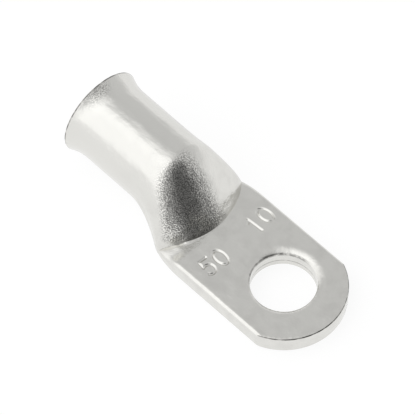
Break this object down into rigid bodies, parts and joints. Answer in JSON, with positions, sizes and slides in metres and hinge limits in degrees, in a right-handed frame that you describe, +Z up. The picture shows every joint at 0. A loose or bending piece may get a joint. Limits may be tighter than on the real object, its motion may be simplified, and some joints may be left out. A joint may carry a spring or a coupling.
{
  "type": "cable lug",
  "caption": "Tinned copper ring lug with a bell-mouthed barrel for a crimped cable, pressed flat into a palm with a punched stud hole.",
  "frame": {"origin": "centre of the stud hole on the underside of the palm", "axes": "+X along the lug to the tip of the palm, with the barrel's mouth facing -X; +Z up, from the underside of the palm to its top"},
  "size_m": [0.0516, 0.0191, 0.015],
  "materials": {
    "tinned_copper": "bright tin plating, lightly satin"
  },
  "bodies": {
    "root": {"cable_lug": "tinned_copper"}
  },
  "joints": []
}
